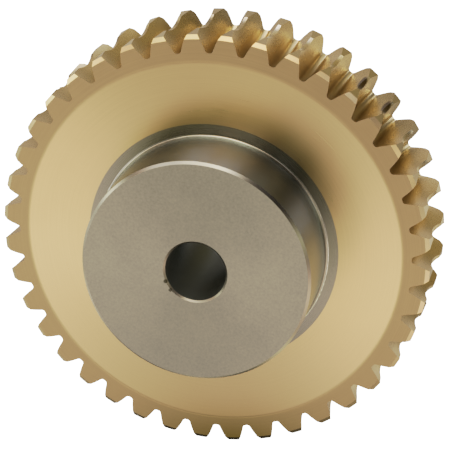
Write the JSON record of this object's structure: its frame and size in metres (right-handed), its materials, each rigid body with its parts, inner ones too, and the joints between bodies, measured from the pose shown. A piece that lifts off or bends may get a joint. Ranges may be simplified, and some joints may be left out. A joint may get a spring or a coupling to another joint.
{
  "type": "worm wheel",
  "caption": "Worm wheel: a bronze ring with hobbed, throated right-hand teeth fixed round a steel hub that has a raised round boss and a plain through bore.",
  "frame": {"origin": "centre of the flat back face of the wheel, which it rests on", "axes": "+Z along the wheel's axis, from the flat back face towards the boss; one tooth gap is centred on +X in the middle plane of the rim"},
  "size_m": [0.0856, 0.0856, 0.0315],
  "materials": {
    "bronze": "fine turned bronze, satin",
    "steel": "fine turned steel, satin"
  },
  "bodies": {
    "root": {"toothed_rim": "bronze", "hub": "steel"}
  },
  "joints": []
}
